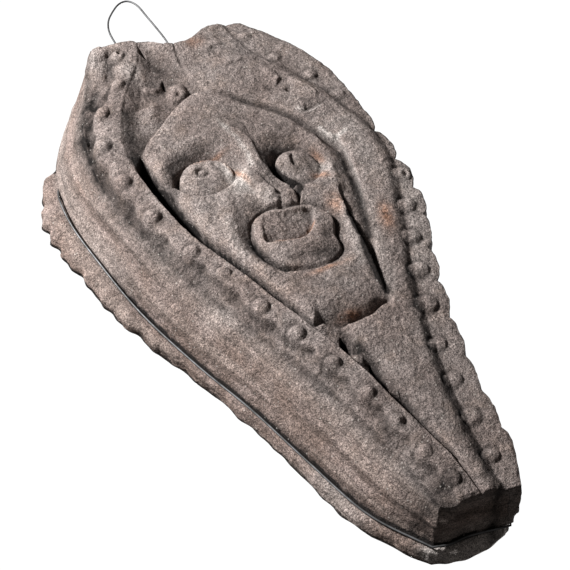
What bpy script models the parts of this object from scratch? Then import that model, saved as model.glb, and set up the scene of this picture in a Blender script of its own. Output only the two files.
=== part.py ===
"""Green man relief: a block of coarse stone carved with a leaf-framed mask, and its hanging wire.

The carving faces -Y, the sawn back lies on the plane Y = 0, and Z is up the wall. Carving
sizes below are in millimetres: "u" runs to the right, "v" runs up, and "height" is measured
towards the viewer from the plane of the pearled ledge.
"""

import bmesh
import bpy
import numpy as np

MM = 0.001
LEDGE_DEPTH = 67.0        # from the back to the plane of the pearled ledge
FOOT_HEIGHT = -52.0       # where the side wall meets the rough flange
FLANGE_HEIGHT = -60.0     # widest point of the flange
GRID_ACROSS = 150
GRID_UP = 300
WALL_RINGS = 10
STONE_TRIANGLES = 8200
BACK_STOCK = 6.0          # sawn off behind the plane Y = 0

WIRE_DIAMETER = 1.8
WIRE_OUT = 2.4            # the wire's middle outside the foot of the side wall
WIRE_HEIGHT = FOOT_HEIGHT + 1.6

PEARL_RADIUS = 8.0
PEARL_HEIGHT = 5.0

# Outlines of the block, each from its lower or left end: the carved front's outer edge, the
# foot of the side wall, and the rim of the flange.
LEFT = {
    "front": [(-33, -271), (-36, -235), (-47, -180), (-63, -122), (-83, -62), (-105, 5),
              (-120, 72), (-128, 140), (-118, 200), (-97, 246), (-77, 285)],
    "foot": [(-42, -279), (-64, -234), (-83, -172), (-101, -108), (-121, -50), (-140, 18),
             (-150, 80), (-154, 145), (-141, 202), (-117, 246), (-88, 288)],
    "flange": [(-46, -284), (-73, -234), (-90, -172), (-109, -106), (-128, -50), (-153, 16),
               (-167, 80), (-174, 145), (-156, 205), (-125, 249), (-91, 291)],
}
RIGHT = {
    "front": [(28, -294), (43, -254), (51, -190), (65, -130), (82, -72), (103, -18),
              (111, 40), (110, 100), (106, 163), (88, 214), (60, 257)],
    "foot": [(24, -289), (41, -252), (48, -189), (61, -128), (78, -71), (99, -17),
             (107, 41), (107, 101), (102, 163), (84, 213), (59, 256)],
    "flange": [(28, -287), (45, -254), (53, -190), (66, -129), (83, -71), (104, -17),
               (112, 42), (112, 102), (107, 165), (88, 216), (62, 260)],
}
TOP = {
    "front": [(-77, 285), (-58, 280), (-36, 273), (-17, 254), (2, 249), (33, 261), (60, 257)],
    "foot": [(-88, 288), (-62, 286), (-36, 279), (-15, 260), (3, 253), (34, 262), (59, 256)],
    "flange": [(-91, 291), (-63, 291), (-36, 284), (-14, 265), (4, 258), (35, 267), (62, 260)],
}
BOTTOM = {
    "front": [(-33, -271), (-22, -281), (-7, -286), (10, -290), (28, -294)],
    "foot": [(-42, -279), (-26, -283), (-8, -283), (10, -286), (24, -289)],
    "flange": [(-46, -284), (-30, -290), (-10, -295), (10, -293), (28, -287)],
}

# Lines of the carving, as (u, v) from low to high.
LEFT_PEARLS = [(-15, -266), (-22, -236), (-27, -203), (-35, -170), (-45, -133), (-57, -95),
               (-70, -58), (-82, -14), (-96, 18), (-110, 67), (-116, 115), (-116, 161),
               (-102, 198), (-75, 226), (-61, 261)]
RIGHT_PEARLS = [(22, -259), (27, -222), (32, -186), (38, -151), (50, -112), (62, -78),
                (74, -44), (87, -12), (101, 22), (97, 133), (86, 166), (67, 200), (55, 237)]
BAND_EDGE = [(-2, -275), (-4, -248), (-11, -212), (-18, -180), (-24, -150), (-33, -118),
             (-44, -86), (-53, -62), (-64, -28), (-74, -1), (-83, 22), (-90, 50), (-95, 80),
             (-98, 110), (-99, 138), (-95, 158), (-88, 178), (-78, 200), (-62, 225), (-43, 250),
             (-36, 268)]
ROLL_INNER = [(-4, -260), (4, -200), (14, -140), (24, -96), (29, -72), (38, -46), (47, -20),
              (54, 1), (60, 23), (65, 47), (68, 71), (64, 93), (60, 115), (60, 140)]
ROLL_OUTER = [(16, -275), (19, -245), (24, -210), (31, -175), (41, -138), (54, -94),
              (63, -66), (71, -43), (81, -17), (92, 10), (100, 33), (105, 58), (104, 90),
              (97, 115), (90, 140), (80, 163), (68, 190), (55, 211), (47, 235), (47, 270)]
HAIRLINE = [(-104, 112), (-93, 128), (-82, 144), (-60, 160), (-38, 177), (-18, 184), (-3, 178),
            (9, 168), (22, 152), (37, 136), (50, 114), (59, 92), (67, 76), (80, 66), (96, 60)]
FIELD_EDGE = [(-2, -270), (-3, -240), (-6, -219), (-9, -199), (-11, -173), (-14, -152),
              (-17, -134), (-19, -117), (-20, -90)]
# The wire's hanging loop, and the points of the wire's run over the top that it replaces.
LOOP_LEAVES, LOOP_RETURNS = 4, 9
HANGING_LOOP = [(1, 262), (4, 280), (8, 297), (10, 316), (9, 336), (7, 358), (5, 377), (-1, 387),
                (-10, 387), (-20, 379), (-29, 368), (-34, 354), (-35, 338), (-35, 318), (-33, 298),
                (-30, 281)]
LEAF_CURLS = [[(19, 200), (31, 195), (46, 191), (59, 177), (55, 167), (42, 160)],
              [(61, 163), (68, 148), (75, 136), (68, 124), (55, 123)],
              [(6, 205), (18, 222), (34, 226), (40, 212)]]

LIPS = [(-26, 27), (-33, 25), (-39, 22), (-43, 15), (-47, 6), (-49, -5), (-48, -16), (-45, -27),
        (-38, -34), (-31, -40), (-21, -44), (-11, -47), (-2, -46), (7, -42), (14, -36), (16, -27),
        (16, -20), (21, -10), (23, -2), (22, 4), (19, 10), (15, 15), (10, 19), (4, 21), (-2, 23),
        (-11, 24), (-19, 27)]
TONGUE = [(-25, 8), (-30, -1), (-34, -10), (-27, -14), (-16, -15), (-7, -14), (-1, -11),
          (4, -3), (6, 6), (2, 12), (-8, 16), (-19, 18)]
OPENING = [(-43, -4), (-33, -7), (-25, -11), (-14, -14), (-5, -13), (4, -7), (9, 2)]
LEFT_FOLD = [(-30, 50), (-40, 34), (-46, 17), (-49, 2), (-48, -14), (-42, -30)]
CHEEK_FOLD = [(43, 23), (45, 6), (41, -10), (36, -27), (33, -43), (31, -61), (28, -78), (24, -94)]
FACE_AXIS = -14.0
# Each eye: centre, radius, top, reach of the socket, and where its crescent is deepest.
LEFT_EYE = ((-51, 86), 22.0, 9.0, 21.0, 160.0)
RIGHT_EYE = ((22, 65), 20.5, 6.0, 20.0, 190.0)


def ease(x):
    x = np.clip(x, 0.0, 1.0)
    return x * x * (3.0 - 2.0 * x)


def rise(distance, width):
    """0 on the near side of an edge, 1 on its far side, over the width given."""
    return ease(distance / width + 0.5)


def line_at(v, points):
    """The u of a smooth line through (u, v) points that climb in v."""
    points = np.array(points, dtype=float)
    order = np.argsort(points[:, 1])
    values, knots = points[order, 0], points[order, 1]
    slopes = np.gradient(values, knots)
    i = np.clip(np.searchsorted(knots, v) - 1, 0, len(knots) - 2)
    span = knots[i + 1] - knots[i]
    t = np.clip((v - knots[i]) / span, 0.0, 1.0)
    t2, t3 = t * t, t * t * t
    return ((2 * t3 - 3 * t2 + 1) * values[i] + (t3 - 2 * t2 + t) * span * slopes[i]
            + (3 * t2 - 2 * t3) * values[i + 1] + (t3 - t2) * span * slopes[i + 1])


def curve(points, t):
    """Points at t, from 0 to 1, on a smooth curve through the points."""
    points = np.array(points, dtype=float)
    last = len(points) - 1
    slopes = np.gradient(points, axis=0)
    i = np.clip((t * last).astype(int), 0, last - 1)
    f = (t * last - i)[..., None]
    f2, f3 = f * f, f * f * f
    return ((2 * f3 - 3 * f2 + 1) * points[i] + (f3 - 2 * f2 + f) * slopes[i]
            + (3 * f2 - 2 * f3) * points[i + 1] + (f3 - f2) * slopes[i + 1])


def path_distance(u, v, path):
    """Distance to a broken line."""
    nearest = np.full(np.shape(u), 1e9)
    for (u0, v0), (u1, v1) in zip(path[:-1], path[1:]):
        du, dv = u1 - u0, v1 - v0
        t = np.clip(((u - u0) * du + (v - v0) * dv) / (du * du + dv * dv), 0.0, 1.0)
        nearest = np.minimum(nearest, np.hypot(u - u0 - t * du, v - v0 - t * dv))
    return nearest


def side_of(u, v, path):
    """Distance to a broken line, positive on its left as the points run."""
    nearest = np.full(np.shape(u), 1e9)
    offset = np.zeros(np.shape(u))
    for (u0, v0), (u1, v1) in zip(path[:-1], path[1:]):
        du, dv = u1 - u0, v1 - v0
        length = np.hypot(du, dv)
        t = np.clip(((u - u0) * du + (v - v0) * dv) / length ** 2, 0.0, 1.0)
        away = np.hypot(u - u0 - t * du, v - v0 - t * dv)
        square = (du * (v - v0) - dv * (u - u0)) / length
        tied = (away < nearest + 1e-6) & (np.abs(square) > np.abs(offset))
        offset = np.where((away < nearest - 1e-6) | tied, square, offset)
        nearest = np.minimum(nearest, away)
    return nearest * np.where(offset < 0.0, -1.0, 1.0)


def stroke(u, v, path, half_width):
    """1 along a path, falling to 0 at about twice its half width."""
    return np.exp(-(path_distance(u, v, path) / half_width) ** 2)


def oval(u, v, centre, radii, tilt=0.0):
    """Distance from an oval's centre, 1 on the oval itself."""
    turn = np.radians(tilt)
    du, dv = u - centre[0], v - centre[1]
    along = du * np.cos(turn) + dv * np.sin(turn)
    across = dv * np.cos(turn) - du * np.sin(turn)
    return np.hypot(along / radii[0], across / radii[1])


def blend(below, above, amount):
    return below + (above - below) * amount


def border(u, v):
    """The flat ledge, its left band, and the pearls' outer margin."""
    pearl_line = line_at(v, LEFT_PEARLS)
    margin = -2.0 - 5.0 * ease((pearl_line - 8.0 - u) / 14.0)
    band = 4.0 + 2.5 * np.sin(np.pi * np.clip((u - pearl_line + 8.0) / 26.0, 0.0, 1.0))
    left = blend(margin, band, rise(u - pearl_line + 8.5, 4.0))
    return blend(left, 0.0, rise(u - 5.0, 30.0))


def pearls(u, v):
    height = np.zeros(np.shape(u))
    for centre in LEFT_PEARLS + RIGHT_PEARLS:
        away = np.hypot(u - centre[0], v - centre[1]) / PEARL_RADIUS
        height = np.maximum(height, PEARL_HEIGHT * np.sqrt(np.clip(1.0 - away ** 2, 0.0, 1.0)))
    return height


def roll(u, v):
    """The thick stem down the right side, which carries on as the field below the chin."""
    inner, outer = line_at(v, ROLL_INNER), line_at(v, ROLL_OUTER)
    half = 0.5 * (outer - inner)
    from_middle = np.abs(u - 0.5 * (inner + outer)) / np.maximum(half, 4.0)
    crest = 11.0 + 5.0 * ease((v + 120.0) / 160.0)
    return crest * np.clip(1.0 - from_middle ** 3.2, 0.0, 1.0) ** 0.55


def field(u, v):
    """The plain tapering field under the chin, with the gully along its left side."""
    gully, outer = line_at(v, FIELD_EDGE), line_at(v, ROLL_OUTER)
    across = np.clip((u - gully) / np.maximum(outer - gully, 6.0), 0.0, 1.0)
    top = 8.0 + 4.0 * np.sin(np.pi * across ** 0.8)
    floor = -7.0 * ease((v + 262.0) / 60.0)
    surface = blend(floor, top, rise(u - gully + 1.0, 9.0))
    return blend(surface, 0.0, rise(u - outer + 2.5, 6.0))


def nose(u, v, face):
    """A straight bridge down to a broken tip, and the one side of the nose left whole."""
    ridge = path_distance(u, v, [(-9, 140), (-9, 105), (-11, 85), (-15, 62), (-19, 46)])
    face = face + 8.0 * np.exp(-(ridge / 9.0) ** 2)
    side = side_of(u, v, [(-22, 26), (7, 22), (9, 42), (1, 66), (-12, 78), (-24, 46), (-22, 26)])
    face = blend(face, 15.0 - 0.28 * (u + 16.0), rise(side, 5.0))
    tip = np.hypot(u + 21.0, v - 36.0) / 8.5
    face = blend(face, 20.0 - 4.0 * tip ** 2, rise(1.0 - tip, 0.3))
    return face - 9.0 * stroke(u, v, [(6, 43), (5, 37), (3, 31)], 3.2)


def eye(u, v, face, shape):
    """A button eye in its bowl, which is open above and ends against the cheek below."""
    centre, radius, top, reach, deepest = shape
    du, dv = u - centre[0], v - centre[1]
    angle = np.arctan2(dv, du)
    upward = np.cos(angle - np.radians(64.0))
    gap = np.hypot(du, dv) - radius
    reach = 2.5 + reach * ease((upward + 0.8) / 0.8)
    crescent = np.clip(np.cos(angle - np.radians(deepest)), 0.0, 1.0) ** 1.5
    floor = np.minimum(face, 3.0 - 12.0 * crescent)
    across = np.clip(gap / reach, 0.0, 1.0)
    face = blend(floor, face, 0.6 * across + 0.4 * ease(across))
    button = top - 3.0 * np.clip(1.0 + gap / radius, 0.0, 1.0) ** 2
    return blend(face, np.maximum(face, button), rise(-gap, 2.5))


def mouth(u, v, face):
    """A ring of lips standing clear of the cheeks, blocked by a squared tongue."""
    rim = side_of(u, v, curve(LIPS + LIPS[:1], np.linspace(0.0, 1.0, 82)))
    face = face - 9.0 * stroke(u, v, LEFT_FOLD, 8.0)
    face = face - 5.0 * np.exp(-((rim + 3.0) / 4.0) ** 2)
    lips = 10.0 + 6.5 * np.sqrt(ease(rim / 11.0))
    face = blend(face, lips, rise(rim, 3.0))
    face = face - 8.0 * stroke(u, v, [(-23, 17), (-29, 6), (-35, -3)], 4.0)
    tongue = side_of(u, v, curve(TONGUE + TONGUE[:1], np.linspace(0.0, 1.0, 37)))
    face = blend(face, 12.0 + 5.0 * ease(tongue / 9.0), rise(tongue, 2.5))
    return face - 4.0 * stroke(u, v, OPENING, 1.8)


def face_surface(u, v):
    """The mask itself: domed, with nose, eyes, cheek folds, ring mouth and chin."""
    side = (u - FACE_AXIS) / 82.0
    face = 13.0 - 8.0 * side ** 2 - 3.0 * ((v - 40.0) / 130.0) ** 2
    face = face + 3.0 * np.exp(-((v + 70.0) / 18.0) ** 2 - ((u + 10.0) / 26.0) ** 2)
    for shape in (LEFT_EYE, RIGHT_EYE):
        face = eye(u, v, face, shape)
    face = nose(u, v, face)
    face = face + 2.5 * stroke(u, v, [(-50, 44), (-58, 14), (-57, -12), (-48, -34)], 7.0)
    face = mouth(u, v, face)
    from_roll = line_at(v, ROLL_INNER) - u
    face = np.minimum(face, 0.9 * np.maximum(from_roll, 0.0) - 2.0)
    fold = side_of(u, v, curve(CHEEK_FOLD, np.linspace(0.0, 1.0, 29)))
    face = face - 3.0 * rise(fold, 5.0) * ease((40.0 - v) / 30.0)
    return face - (5.0 + 6.0 * ease(-v / 80.0)) * np.exp(-(fold / 2.6) ** 2) * (v < 40.0)


def chin_depth(u, v):
    """Distance above the chin's lower edge."""
    return v + 99.0 - 0.0115 * (u + 5.0) ** 2


def inside_mask(u, v):
    """Distance inside the mask's left side and chin, negative in the slot beside them."""
    slot = 3.0 + 6.5 * ease((v + 60.0) / 160.0)
    return np.minimum(u - line_at(v, BAND_EDGE) - slot, chin_depth(u, v))


def leaves(u, v):
    """Low leaves over the mask: small ones on the left, one broad lobe on the right."""
    broad = 9.0 + 1.5 * np.cos((u - 30.0) / 14.0) * np.cos((v - 200.0) / 16.0)
    for curl in LEAF_CURLS:
        broad = broad - 2.5 * stroke(u, v, curl, 3.2)
    shelf = 12.0 * ease((v - 160.0 - 0.2 * u) / 18.0)
    blade = 8.0 * ease((v - 206.0) / 10.0)
    small = -16.0 + shelf + blade - 5.0 * stroke(u, v, [(-52, 212), (-40, 214), (-28, 220)], 6.0)
    small = small + 4.0 * np.exp(-oval(u, v, (-56, 188), (17, 9), 15.0) ** 4)
    height = blend(small, broad, rise(u + 18.0 + 0.25 * (v - 215.0), 14.0))
    height = height - 4.0 * stroke(u, v, [(-26, 270), (-20, 236), (-16, 196)], 3.0)
    height = height - 3.0 * stroke(u, v, [(-9, 250), (-11, 236), (-11, 212)], 2.4)
    height = height - 12.0 * stroke(u, v, [(-38, 204), (-37, 209)], 3.6)
    return height - 6.0 * stroke(u, v, [(-40, 262), (-37, 249)], 2.8)


def carving(u, v):
    """Height of the finished front at (u, v)."""
    band_edge = line_at(v, BAND_EDGE)
    roll_inner, roll_outer = line_at(v, ROLL_INNER), line_at(v, ROLL_OUTER)

    depth = inside_mask(u, v)
    face = face_surface(u, v) - 5.0 * (1.0 - ease(depth / 12.0))
    slot_floor = -30.0 + 16.0 * ease((v - 110.0) / 40.0) + 22.0 * ease((-70.0 - v) / 25.0)
    mask = blend(slot_floor, face, rise(depth - 0.5, 4.0))

    above_brow = side_of(u, v, curve(HAIRLINE, np.linspace(0.0, 1.0, 43)))
    temple = ease((-30.0 - u) / 30.0)
    mask = mask - 7.0 * temple * ease((above_brow + 12.0) / 12.0) * (depth > 0.0)
    mask = blend(mask, leaves(u, v), rise(above_brow - 3.0 * temple, 6.0))

    stem = blend(field(u, v), roll(u, v), ease((v + 120.0) / 40.0))
    stem = blend(stem, mask, ease((v - 80.0) / 35.0))
    mask_side = np.minimum(roll_inner - u, chin_depth(u, v) + 2.5)
    inner = blend(stem, mask, rise(mask_side, 4.0))
    inner = blend(inner, 0.0, rise(u - roll_outer + 1.0, 6.0))
    height = blend(border(u, v), inner, rise(u - band_edge, 3.0))
    bead = pearls(u, v)
    return np.where(bead > 0.0, np.maximum(height, bead + np.minimum(height, 4.0)), height)


def front_plan(s, t):
    """Maps the unit square onto the front, edge to edge."""
    left, right = curve(LEFT["front"], t), curve(RIGHT["front"], t)
    bottom, top = curve(BOTTOM["front"], s), curve(TOP["front"], s)
    corners = [np.array(side, dtype=float) for side in
               (LEFT["front"][0], RIGHT["front"][0], LEFT["front"][-1], RIGHT["front"][-1])]
    s, t = s[..., None], t[..., None]
    bilinear = ((1 - s) * (1 - t) * corners[0] + s * (1 - t) * corners[1]
                + (1 - s) * t * corners[2] + s * t * corners[3])
    return (1 - s) * left + s * right + (1 - t) * bottom + t * top - bilinear


def rim_plan(level, s, t):
    """The outline at the foot or the flange, for points on the unit square's border."""
    u_v = np.where((s <= 0.0)[:, None], curve(LEFT[level], t), curve(RIGHT[level], t))
    level_ends = (t <= 0.0) | (t >= 1.0)
    ends = np.where((t <= 0.0)[:, None], curve(BOTTOM[level], s), curve(TOP[level], s))
    return np.where(level_ends[:, None], ends, u_v)


def place(plan, height):
    """Millimetres on the carving to metres in space."""
    return np.column_stack((plan[:, 0], -(LEDGE_DEPTH + height), plan[:, 1])) * MM


def border_order(across, up):
    """Grid indices round the border, starting at the lower left and going right."""
    row = across + 1
    order = list(range(across))
    order += [j * row + across for j in range(up)]
    order += [up * row + i for i in range(across, 0, -1)]
    order += [j * row for j in range(up, 0, -1)]
    return order


def stone_mesh(name):
    bm = bmesh.new()
    bmesh.ops.create_grid(bm, x_segments=GRID_ACROSS, y_segments=GRID_UP, size=0.5)
    bm.verts.ensure_lookup_table()
    unit = np.array([(vert.co.x + 0.5, vert.co.y + 0.5) for vert in bm.verts])
    s, t = unit[:, 0], unit[:, 1]
    plan = front_plan(s, t)
    height = carving(plan[:, 0], plan[:, 1])
    edge_gap = np.minimum(np.minimum(s, 1.0 - s) * 150.0, np.minimum(t, 1.0 - t) * 560.0)
    height = height - 3.0 * (1.0 - ease(edge_gap / 7.0)) ** 2
    for vert, position in zip(bm.verts, place(plan, height)):
        vert.co = position

    ring = [bm.verts[i] for i in border_order(GRID_ACROSS, GRID_UP)]
    corner = np.array([tuple(unit[i]) for i in border_order(GRID_ACROSS, GRID_UP)])
    start = np.array([tuple(plan[i]) for i in border_order(GRID_ACROSS, GRID_UP)])
    start_height = np.array([height[i] for i in border_order(GRID_ACROSS, GRID_UP)])
    foot = rim_plan("foot", corner[:, 0], corner[:, 1])
    flange = rim_plan("flange", corner[:, 0], corner[:, 1])
    for k in range(1, WALL_RINGS + 1):
        down = k / WALL_RINGS
        out = down ** 0.85
        ring = add_ring(bm, ring, start + (foot - start) * out,
                        start_height + (FOOT_HEIGHT - start_height) * down)
    ring = add_ring(bm, ring, foot + (flange - foot) * 0.75, FOOT_HEIGHT - 2.5)
    ring = add_ring(bm, ring, flange, FLANGE_HEIGHT)
    back = flange + (foot - flange) * 0.15
    ring = add_ring(bm, ring, back, -LEDGE_DEPTH)
    ring = add_ring(bm, ring, back, -LEDGE_DEPTH - BACK_STOCK)
    bm.faces.new(list(reversed(ring)))
    bmesh.ops.recalc_face_normals(bm, faces=bm.faces)
    mesh = bpy.data.meshes.new(name)
    bm.to_mesh(mesh)
    bm.free()
    return mesh


def add_ring(bm, ring, plan, height):
    """Joins one more loop of points to the border ring."""
    heights = np.broadcast_to(height, len(ring))
    new = [bm.verts.new(position) for position in place(plan, heights)]
    for i in range(len(ring)):
        j = (i + 1) % len(ring)
        bm.faces.new((ring[i], new[i], new[j], ring[j]))
    return new


def material(name, colour, roughness, metallic):
    made = bpy.data.materials.new(name)
    made.use_nodes = True
    shader = made.node_tree.nodes["Principled BSDF"]
    shader.inputs["Base Color"].default_value = (*colour, 1.0)
    shader.inputs["Roughness"].default_value = roughness
    shader.inputs["Metallic"].default_value = metallic
    return made


def back_saw(collection):
    """Cutter that trims the block's back to the plane Y = 0."""
    size = 0.8
    bm = bmesh.new()
    bmesh.ops.create_cube(bm, size=size)
    bmesh.ops.translate(bm, verts=bm.verts, vec=(0.0, 0.5 * size, 0.0))
    mesh = bpy.data.meshes.new("back_saw")
    bm.to_mesh(mesh)
    bm.free()
    saw = bpy.data.objects.new("back_saw", mesh)
    saw.hide_render = True
    saw.display_type = "WIRE"
    collection.objects.link(saw)
    return saw


def relief_stone(collection, saw):
    stone = bpy.data.objects.new("relief_stone", stone_mesh("relief_stone"))
    collection.objects.link(stone)
    stone.data.materials.append(material("grey_brown_stone", (0.19, 0.16, 0.14), 0.9, 0.0))
    reduce = stone.modifiers.new("reduce", "DECIMATE")
    full = sum(len(face.vertices) - 2 for face in stone.data.polygons)
    reduce.ratio = STONE_TRIANGLES / full
    trim = stone.modifiers.new("sawn_back", "BOOLEAN")
    trim.operation = "DIFFERENCE"
    trim.object = saw
    return stone


def offset_loop(points, out):
    """A closed loop, counter-clockwise, moved outwards with its corners kept."""
    ahead = np.roll(points, -1, axis=0) - points
    ahead /= np.linalg.norm(ahead, axis=1)[:, None]
    normal = np.column_stack((ahead[:, 1], -ahead[:, 0]))
    both = normal + np.roll(normal, 1, axis=0)
    return points + out * 2.0 * both / np.sum(both * both, axis=1)[:, None]


def wire_path():
    """Points of the closed wire: up the right side, over the hanging loop, down the left."""
    right = curve(RIGHT["foot"], np.linspace(0.0, 1.0, 21))[:-1]
    top = curve(TOP["foot"], np.linspace(1.0, 0.0, 13))[:-1]
    left = curve(LEFT["foot"], np.linspace(1.0, 0.0, 23))[:-1]
    bottom = curve(BOTTOM["foot"], np.linspace(0.0, 1.0, 6))[:-1]
    round_foot = offset_loop(np.vstack((right, top, left, bottom)), WIRE_OUT)
    first, last = len(right) + LOOP_LEAVES, len(right) + LOOP_RETURNS
    loop = curve(HANGING_LOOP, np.linspace(0.0, 1.0, 25))
    plan = np.vstack((round_foot[:first], loop, round_foot[last:]))
    return place(plan, np.full(len(plan), WIRE_HEIGHT))


def hanging_wire(collection):
    data = bpy.data.curves.new("hanging_wire", "CURVE")
    data.dimensions = "3D"
    data.bevel_depth = 0.5 * WIRE_DIAMETER * MM
    data.bevel_resolution = 2
    spline = data.splines.new("POLY")
    points = wire_path()
    spline.points.add(len(points) - 1)
    for point, position in zip(spline.points, points):
        point.co = (*position, 1.0)
    spline.use_cyclic_u = True
    wire = bpy.data.objects.new("hanging_wire", data)
    collection.objects.link(wire)
    data.materials.append(material("grey_steel_wire", (0.32, 0.33, 0.33), 0.45, 1.0))
    return wire


def main():
    for old in list(bpy.data.objects):
        bpy.data.objects.remove(old)
    collection = bpy.data.collections.new("green_man_relief")
    cutters = bpy.data.collections.new("cutters")
    for made in (collection, cutters):
        bpy.context.scene.collection.children.link(made)
    relief_stone(collection, back_saw(cutters))
    hanging_wire(collection)


main()
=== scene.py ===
"""Looks for the green man relief: the carved stone at full detail, its wire, light and camera.

As in the CAD, carving sizes are in millimetres: "u" runs to the right, "v" runs up, and
"height" is measured towards the viewer from the plane of the pearled ledge.
"""

import math

import bpy
import numpy as np
from mathutils import Matrix, Vector


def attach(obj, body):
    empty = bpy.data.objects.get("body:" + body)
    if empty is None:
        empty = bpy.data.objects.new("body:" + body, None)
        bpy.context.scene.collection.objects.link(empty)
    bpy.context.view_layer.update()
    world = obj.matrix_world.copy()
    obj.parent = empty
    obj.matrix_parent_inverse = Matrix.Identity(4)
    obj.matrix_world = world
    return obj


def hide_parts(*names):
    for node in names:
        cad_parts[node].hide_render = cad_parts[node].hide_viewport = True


MM = 0.001
LEDGE_DEPTH = 67.0        # from the back to the plane of the pearled ledge
FOOT_HEIGHT = -52.0       # where the side wall meets the rough flange
FLANGE_HEIGHT = -60.0     # widest point of the flange
CREVICE = 2.0             # how far the foot is sunk in the corner behind the wire
WALL_BOW = 0.85           # under 1 where the wall leans out faster near the front
ACROSS, UP = 188, 430     # squares of the front's mesh
WALL_RINGS = 14
# The block's rough width and height, for the wear along the front's edges.
WEAR_ACROSS, WEAR_UP, WEAR_REACH = 150.0, 560.0, 7.0

WIRE_RADIUS = 0.9
WIRE_OUT = 2.7            # the wire's middle outside the foot of the wall
WIRE_HEIGHT = FOOT_HEIGHT + 1.8
# At the upper left the wire moves in and back by these, out of sight behind the wall's edge.
WIRE_TUCK, WIRE_DROP = 3.6, 7.2

# The hanging loop, from where the wire leaves the foot at the top right to where it returns.
HANGING_LOOP = [(1, 262), (4, 280), (8, 297), (10, 316), (9, 336), (7, 358), (5, 377), (-1, 387), (-10, 387),
    (-20, 379), (-29, 368), (-34, 354), (-35, 338), (-35, 318), (-33, 298), (-30, 281)]
LOOP_LEAVES, LOOP_RETURNS = 12, 27        # counted along the points of the top's foot

# Outlines of the block, each from its lower or left end: the carved front's edge, the foot of the
# side wall, and the flange's rim. They are the CAD's, but up to 7 mm off it at the corners.
LEFT = {
    "front": [(-30, -276), (-36, -235), (-47, -180), (-63, -122), (-83, -62), (-105, 5), (-120, 72),
        (-128, 140), (-118, 200), (-97, 246), (-77, 285)],
    "foot": [(-35, -280), (-64, -234), (-83, -172), (-101, -108), (-121, -50), (-140, 18), (-150, 80),
        (-156, 146), (-147, 205), (-121, 248), (-88, 288)],
    "flange": [(-39, -287), (-73, -234), (-90, -172), (-109, -106), (-128, -50), (-153, 16), (-167, 80),
        (-177, 146), (-160, 207), (-125, 249), (-91, 291)],
}
RIGHT = {
    "front": [(29, -291), (43, -254), (51, -190), (65, -130), (82, -72), (103, -18), (111, 40), (110, 100),
        (106, 163), (88, 214), (60, 257)],
    "foot": [(24, -289), (41, -252), (48, -189), (61, -128), (78, -71), (99, -17), (107, 41), (107, 101),
        (102, 163), (84, 213), (59, 256)],
    "flange": [(28, -287), (45, -254), (53, -190), (66, -129), (83, -71), (104, -17), (112, 42), (112, 102),
        (107, 165), (88, 216), (62, 260)],
}
TOP = {
    "front": [(-77, 285), (-58, 280), (-36, 273), (-17, 254), (2, 249), (33, 261), (60, 257)],
    "foot": [(-88, 288), (-62, 286), (-36, 279), (-15, 260), (3, 253), (34, 262), (59, 256)],
    "flange": [(-91, 291), (-63, 291), (-36, 284), (-14, 265), (4, 258), (35, 267), (62, 260)],
}
BOTTOM = {
    "front": [(-30, -276), (-21, -283), (-7, -286), (10, -288), (29, -291)],
    "foot": [(-35, -280), (-24, -283), (-8, -283), (10, -286), (24, -289)],
    "flange": [(-39, -287), (-27, -291), (-10, -295), (10, -293), (28, -287)],
}

# Lines of the carving, as (u, v). Pearls also carry their radius, 0 where one has worn away.
LEFT_PEARLS = [(-15, -266, 6.5), (-22, -236, 7), (-27, -203, 7), (-35, -170, 7.5), (-45, -133, 7.5),
    (-57, -95, 7.5), (-70, -58, 7.5), (-82, -14, 6.5), (-96, 18, 7.5), (-110, 67, 8.5), (-116, 115, 8.5),
    (-116, 161, 9), (-102, 198, 9), (-75, 226, 8.5), (-61, 261, 8)]
RIGHT_PEARLS = [(22, -259, 7.5), (27, -222, 8), (32, -186, 8), (38, -151, 8), (50, -112, 9.5), (62, -78, 9),
    (74, -44, 8.5), (87, -12, 9), (101, 22, 8.5), (105, 60, 0), (104, 98, 0), (97, 133, 7.5), (86, 166, 7),
    (67, 200, 7), (55, 237, 6.5)]
BAND_EDGE = [(-2, -275), (-4, -248), (-11, -212), (-18, -180), (-24, -150), (-33, -118), (-44, -86),
    (-53, -62), (-64, -28), (-74, -1), (-83, 22), (-90, 50), (-95, 80), (-98, 110), (-99, 138), (-95, 158),
    (-88, 178), (-78, 200), (-62, 225), (-43, 250), (-36, 268)]
ROLL_INNER = [(-4, -260), (4, -200), (14, -140), (24, -96), (29, -72), (38, -46), (47, -20), (54, 1),
    (60, 23), (65, 47), (68, 71), (64, 93), (60, 115), (60, 140)]
ROLL_OUTER = [(16, -275), (19, -245), (24, -210), (30, -175), (38.5, -138), (51.5, -94), (61, -66), (71, -43),
    (81, -17), (92, 10), (100, 33), (105, 58), (104, 90), (97, 115), (90, 140), (80, 163), (68, 190),
    (55, 211), (47, 235), (47, 270)]
HAIRLINE = [(-104, 112), (-93, 128), (-82, 144), (-60, 160), (-38, 177), (-18, 184), (-3, 178), (9, 168),
    (22, 152), (37, 136), (50, 114), (59, 92), (67, 76), (80, 66), (96, 60)]
FIELD_EDGE = [(-2, -270), (-3, -240), (-9, -217), (-9, -195), (-11, -171), (-13, -148), (-18, -130),
    (-18, -108), (-20, -90)]
LIPS = [(-26, 27), (-33, 25), (-39, 22), (-43, 15), (-46, 7), (-47, -4), (-45, -15), (-41, -25), (-36, -33),
    (-29, -38), (-20, -42), (-11, -45), (-2, -45), (7, -42), (14, -36), (16, -27), (16, -20), (21, -10),
    (23, -2), (22, 4), (19, 10), (15, 15), (10, 19), (4, 21), (-2, 23), (-11, 24), (-19, 27)]
MOUTH_INSIDE = [(-24, 19), (-33, 16), (-37, 6), (-40, -4), (-37, -8), (-30, -9), (-21, -12), (-10, -14),
    (-3, -11), (3, -5), (8, 5), (10, 12), (1, 15), (-11, 18)]
TONGUE_EDGE = [(-34, -7), (-25, -10), (-14, -12), (-4, -9), (3, -3)]
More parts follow.
